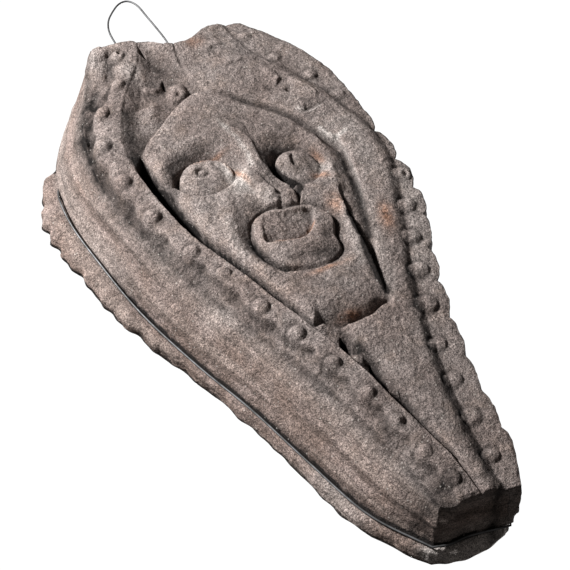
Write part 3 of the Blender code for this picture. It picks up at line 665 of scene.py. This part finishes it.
def stone_arrays():
    """Points, faces and each point's depth down the side (0 on the front, 1 at the foot)."""
    s = np.linspace(0, 1, ACROSS + 1)
    t = np.interp(np.linspace(0, 1, UP + 1), [0, 0.24, 0.85, 1], [0, 0.29, 0.80, 1])
    plan = front_plan(s, t).reshape(-1, 2)
    height = carving(plan[:, 0], plan[:, 1])
    square_s, square_t = np.tile(s, UP + 1), np.repeat(t, ACROSS + 1)
    edge_gap = np.minimum(np.minimum(square_s, 1 - square_s) * WEAR_ACROSS,
                          np.minimum(square_t, 1 - square_t) * WEAR_UP)
    height -= (3 - 2 * (square_s > 0.5)) * (1 - ease(edge_gap / WEAR_REACH)) ** 2

    points, depths, faces = [place(plan, height)], [np.zeros(len(plan))], []
    grid = np.arange(len(plan)).reshape(UP + 1, ACROSS + 1)
    squares = [grid[:-1, :-1], grid[:-1, 1:], grid[1:, 1:], grid[1:, :-1]]
    faces += np.column_stack([a.ravel() for a in squares]).tolist()

    ring = border_order(grid)
    start, start_height = plan[ring], height[ring]
    ring_s, ring_t = square_s[ring], square_t[ring]
    foot, flange = rim_plan("foot", ring_s, ring_t), rim_plan("flange", ring_s, ring_t)
    broken = 1.5 * ramp(flange[:, 1], 203, 212) * ramp(flange[:, 0], -62, -70)
    ragged = 0.3 * rough(flange[:, 0], flange[:, 1], 24, 81, 2)
    flange = flange + (foot - flange) * (broken + ragged)[:, None]
    half = np.arange(0, len(ring), 2)
    count = len(plan)

    def layer(ring_plan, ring_height, depth):
        nonlocal count
        points.append(place(ring_plan, np.broadcast_to(ring_height, len(ring_plan))))
        depths.append(np.full(len(ring_plan), depth))
        count += len(ring_plan)
        return np.arange(count - len(ring_plan), count)

    def join(upper, lower):
        faces.extend(np.column_stack((upper, lower, np.roll(lower, -1), np.roll(upper, -1))).tolist())

    first = layer(start + (foot - start) * 0.03, start_height - 1.8, 0.03)
    join(ring, first)
    start, start_height = start[half], start_height[half]
    foot, flange = foot[half], flange[half]
    previous = None
    for k in range(1, WALL_RINGS + 1):
        down = k / WALL_RINGS
        now = layer(start + (foot - start) * down ** WALL_BOW,
                    start_height + (FOOT_HEIGHT - start_height) * down - CREVICE * (k == WALL_RINGS), down)
        if previous is None:
            near, far = now.tolist(), np.roll(now, -1).tolist()
            before, middle, after = (np.roll(first, -k)[::2].tolist() for k in (0, 1, 2))
            for a, b, c, d, e in zip(before, middle, after, near, far):
                faces += [[a, d, b], [b, d, e], [b, e, c]]
        else:
            join(previous, now)
        previous = now
    back = flange - (foot - flange) * 0.03
    for ring_plan, ring_height, depth in (
            (foot + (flange - foot) * 0.35, FOOT_HEIGHT - 0.6, 1.1),
            (foot + (flange - foot) * 0.75, FOOT_HEIGHT - 2, 1.2),
            (foot + (flange - foot) * 0.97, FOOT_HEIGHT - 5, 1.3),
            (flange, FLANGE_HEIGHT, 1.4),
            (flange + (back - flange) * 0.5, -LEDGE_DEPTH + 3.5, 1.5),
            (back, -LEDGE_DEPTH, 1.6)):
        now = layer(ring_plan, ring_height, depth)
        join(previous, now)
        previous = now
    faces.append(previous[::-1].tolist())
    return np.vstack(points), faces, np.concatenate(depths), height


def weathered(mesh, depth):
    """Pushes the side and the flange in and out along their normals."""
    co, normal = np.empty((2, len(depth), 3))
    mesh.vertices.foreach_get("co", co.ravel())
    mesh.vertex_normals.foreach_get("vector", normal.ravel())
    x, y, z = (co / MM).T
    side = ramp(depth, 0, 0.15)
    near_wire = bell(depth - 1.02, 0.09)
    flutes = 2.4 * noise(x / 90 + z / 260, y / 10, z / 110, 61)
    lumps = 1.3 * noise(x / 15, y / 15, z / 15, 62) + 0.7 * noise(x / 6, y / 6, z / 6, 63)
    on_wall = (flutes + 0.6 * lumps) * (depth < 1.05)
    on_flange = (1.5 * lumps + 1.1 * noise(x / 4.5, y / 4.5, z / 4.5, 64)) * (depth >= 1.05)
    push = side * (on_wall + on_flange) * (1 - 0.9 * near_wire) * (depth < 1.55)
    push += 4 * spot(x, z, (26, -291), (9, 11)) * side * (depth < 0.9)
    co = co + normal * (push * MM)[:, None]
    co[:, 1] = np.minimum(co[:, 1], 0)
    mesh.vertices.foreach_set("co", co.ravel())
    return co / MM


def add_layer(mesh, name, values):
    layer = mesh.attributes.new(name, "FLOAT", "POINT")
    layer.data.foreach_set("value", np.clip(values, 0, 2).astype(np.float32))


def hollows(height):
    """How far each point of the front stands above (over 0.5) or below the stone around it, for painted shade
    in the hollows and painted light on the raised parts.
    """
    grid = height.reshape(UP + 1, ACROSS + 1)
    soft = grid
    for _ in range(3):
        for axis in (0, 1):
            padded = np.pad(soft, [(4, 4) if axis == a else (0, 0) for a in (0, 1)], mode="edge")
            soft = sum(np.take(padded, range(k, k + grid.shape[axis]), axis) for k in range(9)) / 9
    return np.clip(0.5 + (grid - soft) / 9, 0, 1).ravel()


def upper_wall(u, v):
    """1 on the left wall's upper part."""
    return ramp(v, -50, 30) * (u < -40)


def pale_stains_and_painted_light(u, v, depth, patchy):
    """Paler places: rubbed and limed ones on the carving, the ledge, the wall and the flange; painted light
    on the ledge beside the stem; the wall lighter just below the front's edge.
    """
    low_end = ramp(v, -276, -284)
    pale = spots(u, v, PALE_SPOTS) + strokes(u, v, PALE_STROKES) + stroke(u, v, CHALKY_BRIDGE, 2.4) * patchy
    # painted light: the ledge right of the stem is lightened where the stem's shade and the ledge's fall
    # darken it
    ledge = (0.22 * ramp(v, -130, -70) - 0.02) * ramp(v, 110, 80)
    pale += ledge * rise(u - line_at(v, ROLL_OUTER) - 3, 4)
    pale += 0.4 * low_end * ramp(depth, 0.6, 0.9)
    # lighter on the wall just below the front's edge
    pale += 0.12 * ramp(depth, 0, 0.1) * ramp(depth, 0.5, 0.2)
    pale += (spots(u, v, FLANGE_PALE) + 0.5 * low_end) * (depth > 1.05)
    wall = upper_wall(u, v) * ramp(v, 20, 80) * (depth < 1.05)
    return pale + 0.25 * wall * ramp(depth, 0.45, 0.75)


def grime_and_painted_shade_marks(u, v, depth, height, patchy):
    """Black grime and painted shade: painted shade in the deep hollows, the slot beside the mask, round the
    pearls' feet, at the stem's foot, in the crevice behind the wire and at the lower end; the wall darker
    towards its foot and just under the front's edge; grime in patches.
    """
    front = 1 - ramp(depth, 0, 0.1)
    # painted shade: darker the deeper the front is sunk
    grime_and_painted_shade = 0.7 * ramp(height, -4, -18) * front
    # painted shadow: the slot between the left band and the mask is painted black
    slot = rise(u - line_at(v, BAND_EDGE) - 0.4, 1.5) * (1 - rise(inside_mask(u, v) - 0.9, 1.4))
    slot = slot * ramp(v, 150, 120) * ramp(v, -80, -68) * (chin_depth(u, v) > 0)
    grime_and_painted_shade += 2 * slot + strokes(u, v, PAINTED_SHADE_AND_GRIME_STROKES) + spots(u, v, PAINTED_SHADE_AND_GRIME_SPOTS)
    grime_and_painted_shade += 0.6 * spots(u, v, PATCHY_GRIME) * patchy
    # darker towards the wall's foot
    grime_and_painted_shade += 0.22 * ramp(depth, 0.6, 1) * (depth < 1.1) * ramp(v, 110, 50)
    # darker on the upper wall just under the front's edge
    under_edge = (depth > 0.02) * (1 - ramp(depth, 0.15, 0.45))
    grime_and_painted_shade += 0.3 * upper_wall(u, v) * under_edge
    # painted shadow: a dark line along the foot, in the crevice behind the wire
    crevice_shadow = 0.4 + 1.4 * ramp(v, 70, 0) * (u < 0)
    grime_and_painted_shade += crevice_shadow * (np.abs(depth - 1) < 0.01)
    # painted shade at the lower left end
    grime_and_painted_shade += 0.6 * spot(u, v, (-45, -268), (12, 20)) * ramp(depth, 0, 0.3) * (depth < 1.05)
    # painted shade along the foot of the stem's steep flank
    stem_foot_shade = bell(u - line_at(v, ROLL_OUTER) + 4, 5.2)
    grime_and_painted_shade += blend(0.25, 0.75, ramp(v, -50, -90)) * ramp(v, 120, 80) * stem_foot_shade
    # painted shade in a ring round each pearl's foot
    for *centre, radius in LEFT_PEARLS + RIGHT_PEARLS:
        if radius > 0:
            away = np.hypot(u - centre[0], v - centre[1]) / radius
            grime_and_painted_shade += 0.3 * bell(away - 1.1, 0.2) * front
    return grime_and_painted_shade


def stain_and_painted_light_layers(mesh, co, depth, height):
    """Rust, pale stone with painted light, brown, grime with painted shade, and how raised each point is for
    painted light and shade, as point values for its material.
    """
    u, v = co[:, 0], co[:, 2]
    raised = np.full(len(co), 0.5)
    raised[:len(height)] = hollows(height)
    patchy = 0.5 + 0.5 * rough(u, v, 9, 71)
    rust = spots(u, v, RUST_SPOTS) + 0.8 * stroke(u, v, RUST_LINE, 1.8)
    pale = pale_stains_and_painted_light(u, v, depth, patchy)
    brown = ramp(depth, 0.02, 0.22) * (u < 20)
    grime_and_painted_shade = grime_and_painted_shade_marks(u, v, depth, -co[:, 1] - LEDGE_DEPTH, patchy)
    sawn = depth > 1.55
    # raised: drives the painted shade in the hollows and the painted light on raised parts
    add_layer(mesh, "raised", raised)
    add_layer(mesh, "rust", rust * (1 - ramp(depth, 0, 0.1)))
    add_layer(mesh, "pale", np.where(sawn, 0.1, pale))
    add_layer(mesh, "brown", np.where(sawn, 0.4, brown))
    add_layer(mesh, "grime_and_painted_shade", np.where(sawn, 0, grime_and_painted_shade))


# ------ materials

class Nodes:
    """A short way to lay out a material's nodes."""

    def __init__(self, name):
        self.material = bpy.data.materials.new(name)
        self.material.use_nodes = True
        self.tree = self.material.node_tree
        self.shader = self.tree.nodes["Principled BSDF"]
        self.place = self.add("ShaderNodeTexCoord").outputs["Object"]

    def feed(self, socket, value):
        """Gives a socket a number or a colour, or links another node's output to it."""
        if isinstance(value, float):
            socket.default_value = value
        elif isinstance(value, tuple):
            socket.default_value = (*value, 1.0)
        else:
            self.tree.links.new(value, socket)

    def add(self, kind, inputs=None, **settings):
        node = self.tree.nodes.new(kind)
        for key, value in settings.items():
            setattr(node, key, value)
        for key, value in (inputs or {}).items():
            self.feed(node.inputs[key], value)
        return node

    def noise(self, scale, detail=3.0, roughness=0.55, stretch=None):
        place = self.place
        if stretch:
            along_side = self.add("ShaderNodeMapping", {"Vector": place}, vector_type="TEXTURE")
            along_side.inputs["Rotation"].default_value = (0.0, math.radians(-17.0), 0.0)
            along_side.inputs["Scale"].default_value = stretch
            place = along_side.outputs["Vector"]
        inputs = {"Vector": place, "Scale": scale, "Detail": detail, "Roughness": roughness}
        return self.add("ShaderNodeTexNoise", inputs).outputs["Fac"]

    def attribute(self, name):
        return self.add("ShaderNodeAttribute", attribute_name=name).outputs["Fac"]

    def ramp(self, value, low, high, to_low=0.0, to_high=1.0):
        inputs = {"Value": value, "From Min": low, "From Max": high, "To Min": to_low, "To Max": to_high}
        return self.add("ShaderNodeMapRange", inputs, interpolation_type="SMOOTHSTEP").outputs["Result"]

    def math(self, operation, a, b):
        node = self.add("ShaderNodeMath", operation=operation)
        self.feed(node.inputs[0], a)
        self.feed(node.inputs[1], b)
        return node.outputs["Value"]

    def mix(self, amount, a, b, kind="MIX"):
        node = self.add("ShaderNodeMix", {"Factor": amount}, data_type="RGBA", blend_type=kind)
        for socket, colour in zip([s for s in node.inputs if s.type == "RGBA"], (a, b)):
            self.feed(socket, colour)
        return [s for s in node.outputs if s.type == "RGBA"][0]

    def shade(self, looks):
        """Feeds the shader's inputs and gives the finished material."""
        for key, value in looks.items():
            self.feed(self.shader.inputs[key], value)
        return self.material


def stone_material():
    n = Nodes("grey_brown_stone_weathered")
    blotch = n.ramp(n.noise(22.0, 4.0), 0.3, 0.7)
    colour = n.mix(blotch, (0.180, 0.142, 0.128), (0.255, 0.215, 0.199))
    warm = n.ramp(n.noise(60.0), 0.45, 0.75)
    colour = n.mix(n.math("MULTIPLY", warm, 0.35), colour, (0.27, 0.20, 0.162))
    wall = n.mix(n.ramp(n.noise(35.0, 4.0), 0.35, 0.7), (0.238, 0.174, 0.147), (0.326, 0.254, 0.228))
    for stretch, detail, low, amount, streak in (
            ((0.03, 0.010, 0.16), 4.0, 0.50, 0.7, (0.125, 0.092, 0.078)),
            ((0.03, 0.012, 0.20), 3.0, 0.52, 0.6, (0.36, 0.285, 0.25))):
        streaked = n.ramp(n.noise(1.0, detail, 0.6, stretch), low, low + 0.12, 0.0, amount)
        wall = n.mix(streaked, wall, streak)
    colour = n.mix(n.attribute("brown"), colour, wall)
    # pale stone, with painted light on the ledge beside the stem and on the lit planes of the face
    colour = n.mix(n.attribute("pale"), colour, (0.50, 0.45, 0.42))
    rusty = n.math("MULTIPLY", n.attribute("rust"), n.ramp(n.noise(150.0), 0.3, 0.6, 0.4, 1.0))
    colour = n.mix(rusty, colour, (0.46, 0.22, 0.12))
    # grime and painted shade, near black
    grime_and_painted_shade = n.math("MULTIPLY", n.attribute("grime_and_painted_shade"), n.ramp(n.noise(120.0), 0.3, 0.6, 0.6, 1.1))
    colour = n.mix(grime_and_painted_shade, colour, (0.014, 0.011, 0.010))
    # painted shade and light: darker in the hollows, lighter on raised parts, then multiplied by the stone's
    # grain
    shade = n.ramp(n.attribute("raised"), 0.15, 0.85, 0.6, 1.3)
    for scale, swing in ((1000.0, 0.75), (420.0, 0.35), (130.0, 0.22)):
        grain = n.ramp(n.noise(scale, 3.0, 0.7), 0.28, 0.72, 1.0 - swing, 1.0 + swing)
        shade = n.math("MULTIPLY", shade, grain)
    shades = n.add("ShaderNodeCombineColor")
    for socket in shades.inputs[:3]:
        n.feed(socket, shade)
    colour = n.mix(1.0, colour, shades.outputs["Color"], "MULTIPLY")
    speck = n.add("ShaderNodeTexVoronoi", {"Vector": n.place, "Scale": 520.0}, feature="F1")
    bright = n.ramp(speck.outputs["Color"], 0.82, 0.92)
    bright = n.math("MULTIPLY", bright, n.ramp(speck.outputs["Distance"], 0.5, 0.2))
    colour = n.mix(n.math("MULTIPLY", bright, 0.55), colour, (0.62, 0.57, 0.52))

    fine = n.math("ADD", n.noise(700.0, 3.0, 0.7), n.math("MULTIPLY", n.noise(240.0), 1.6))
    ridges = n.math("MULTIPLY", n.noise(1.0, 1.5, 0.5, (0.024, 0.010, 0.12)), n.attribute("brown"))
    fine = n.math("ADD", fine, n.math("MULTIPLY", ridges, 4.0))
    bump = n.add("ShaderNodeBump", {"Strength": 1.0, "Distance": 0.0016, "Height": fine})
    return n.shade({"Base Color": colour, "Roughness": 0.88, "Specular IOR Level": 0.25,
                    "Normal": bump.outputs["Normal"]})


def wire_material():
    n = Nodes("drawn_steel_wire")
    colour = n.mix(n.ramp(n.noise(90.0), 0.35, 0.7), (0.10, 0.10, 0.10), (0.19, 0.19, 0.195))
    worn = n.ramp(n.noise(300.0), 0.3, 0.7, 0.5, 0.65)
    return n.shade({"Base Color": colour, "Metallic": 0.9, "Roughness": worn})


# ------ pieces

def linked(name, data):
    """A new object of the scene, with its data."""
    thing = bpy.data.objects.new(name, data)
    bpy.context.scene.collection.objects.link(thing)
    return thing


def carved_stone():
    points, faces, depth, height = stone_arrays()
    mesh = bpy.data.meshes.new("carved_stone")
    mesh.from_pydata(points.tolist(), [], faces)
    mesh.validate()
    mesh.shade_smooth()
    mesh.polygons[-1].use_smooth = False
    stain_and_painted_light_layers(mesh, weathered(mesh, depth), depth, height)
    mesh.materials.append(stone_material())
    return linked("carved_stone", mesh)


def offset_loop(points, out):
    """A closed loop, counter-clockwise, moved outwards with its corners kept."""
    ahead = np.roll(points, -1, axis=0) - points
    ahead /= np.linalg.norm(ahead, axis=1)[:, None]
    normal = np.column_stack((ahead[:, 1], -ahead[:, 0]))
    both = normal + np.roll(normal, 1, axis=0)
    size = np.linalg.norm(both, axis=1)[:, None]
    return points + out[:, None] * both / size * np.minimum(2.0 / size, 1.1)


def steel_wire():
    """The closed wire: up the right side, over the hanging loop, down the left."""
    right, bottom = drawn(RIGHT["foot"], 61)[:-1], drawn(BOTTOM["foot"], 16)[:-1]
    top, left = drawn(TOP["foot"], 37)[:0:-1], drawn(LEFT["foot"], 67)[:0:-1]
    foot = np.vstack((right, top, left, bottom))
    u, v = foot.T
    hidden = ramp(v, 168, 196)
    dropped = hidden * ramp(u, -70, -78)
    tucked = hidden * ramp(u, -76, -84)
    foot = offset_loop(foot, WIRE_OUT - WIRE_TUCK * tucked)
    loop = drawn(HANGING_LOOP, 55)
    first, last = len(right) + LOOP_LEAVES, len(right) + LOOP_RETURNS
    plan = np.vstack((foot[:first], loop, foot[last:]))
    dropped = np.concatenate((dropped[:first], np.zeros(len(loop)), dropped[last:]))
    data = bpy.data.curves.new("steel_wire", "CURVE")
    data.dimensions = "3D"
    data.bevel_depth = WIRE_RADIUS * MM
    data.bevel_resolution = 3
    spline = data.splines.new("POLY")
    positions = place(plan, WIRE_HEIGHT - WIRE_DROP * dropped)
    spline.points.add(len(positions) - 1)
    for point, position in zip(spline.points, positions):
        point.co = (*position, 1.0)
    spline.use_cyclic_u = True
    data.materials.append(wire_material())
    return linked("steel_wire", data)


# ------ stage, light and camera

def camera_axes():
    """The view's right, up and forward directions."""
    tilt, turn = VIEW_TILT, VIEW_TURN
    right = Vector((math.cos(turn), 0.0, -math.sin(turn)))
    forward = Vector((math.cos(tilt) * math.sin(turn), math.sin(tilt), math.cos(tilt) * math.cos(turn)))
    up = Vector((math.sin(tilt) * math.sin(turn), -math.cos(tilt), math.sin(tilt) * math.cos(turn)))
    return right, up, forward


def add_camera():
    right, up, forward = camera_axes()
    camera = linked("camera", bpy.data.cameras.new("camera"))
    camera.data.lens = LENS
    camera.data.sensor_width = SENSOR
    turn = Matrix((right, up, -forward)).transposed().to_4x4()
    camera.matrix_world = Matrix.Translation(VIEW_CENTRE - VIEW_DISTANCE * forward - VIEW_DROP * up) @ turn
    bpy.context.scene.camera = camera


def add_lamp(name, kind, towards, power):
    """A light that shines from the direction given."""
    lamp = linked(name, bpy.data.lights.new(name, kind))
    lamp.data.energy = power
    lamp.rotation_euler = towards.to_track_quat("Z", "Y").to_euler()
    return lamp


def add_light():
    right, up, forward = camera_axes()
    towards = (-0.75 * right + 0.55 * up - 0.37 * forward).normalized()
    key = add_lamp("key", "AREA", towards, KEY_POWER)
    key.data.shape = "DISK"
    key.data.size = KEY_SIZE
    key.location = VIEW_CENTRE + KEY_DISTANCE * towards
    for name, direction, strength in FILLS:
        add_lamp(name, "SUN", Vector(direction), strength).data.angle = FILL_ANGLE
    world = bpy.data.worlds.new("studio")
    bpy.context.scene.world = world
    world.use_nodes = True
    nodes, links = world.node_tree.nodes, world.node_tree.links
    dim = nodes["Background"]
    dim.inputs["Color"].default_value = ROOM_COLOUR
    dim.inputs["Strength"].default_value = ROOM_STRENGTH
    white = nodes.new("ShaderNodeBackground")
    white.inputs["Color"].default_value = (1.0, 1.0, 1.0, 1.0)
    white.inputs["Strength"].default_value = BACKDROP_STRENGTH
    path, mix = nodes.new("ShaderNodeLightPath"), nodes.new("ShaderNodeMixShader")
    links.new(path.outputs["Is Camera Ray"], mix.inputs["Fac"])
    links.new(dim.outputs["Background"], mix.inputs[1])
    links.new(white.outputs["Background"], mix.inputs[2])
    links.new(mix.outputs["Shader"], nodes["World Output"].inputs["Surface"])


def add_floor():
    mesh = bpy.data.meshes.new("floor")
    corners = [(x * FLOOR_SIZE, y * FLOOR_SIZE, FLOOR_LEVEL) for x, y in ((-1, -1), (1, -1), (1, 1), (-1, 1))]
    mesh.from_pydata(corners, [], [(0, 1, 2, 3)])
    mesh.materials.append(Nodes("pale_floor").shade({"Base Color": (0.82, 0.81, 0.80), "Roughness": 0.9}))
    floor = linked("floor", mesh)
    floor.visible_diffuse = False
    floor.visible_glossy = False


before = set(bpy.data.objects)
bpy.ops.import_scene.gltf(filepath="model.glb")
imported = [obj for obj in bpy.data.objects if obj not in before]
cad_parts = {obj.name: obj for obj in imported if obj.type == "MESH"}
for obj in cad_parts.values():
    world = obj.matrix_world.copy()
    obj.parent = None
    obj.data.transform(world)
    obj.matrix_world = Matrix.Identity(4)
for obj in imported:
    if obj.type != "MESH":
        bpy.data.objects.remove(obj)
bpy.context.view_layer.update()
bpy.context.scene.view_settings.view_transform = "Standard"
add_camera()
add_light()
add_floor()
stone = carved_stone()
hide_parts("relief_stone")
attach(stone, "root")
wire = steel_wire()
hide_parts("hanging_wire")
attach(wire, "root")
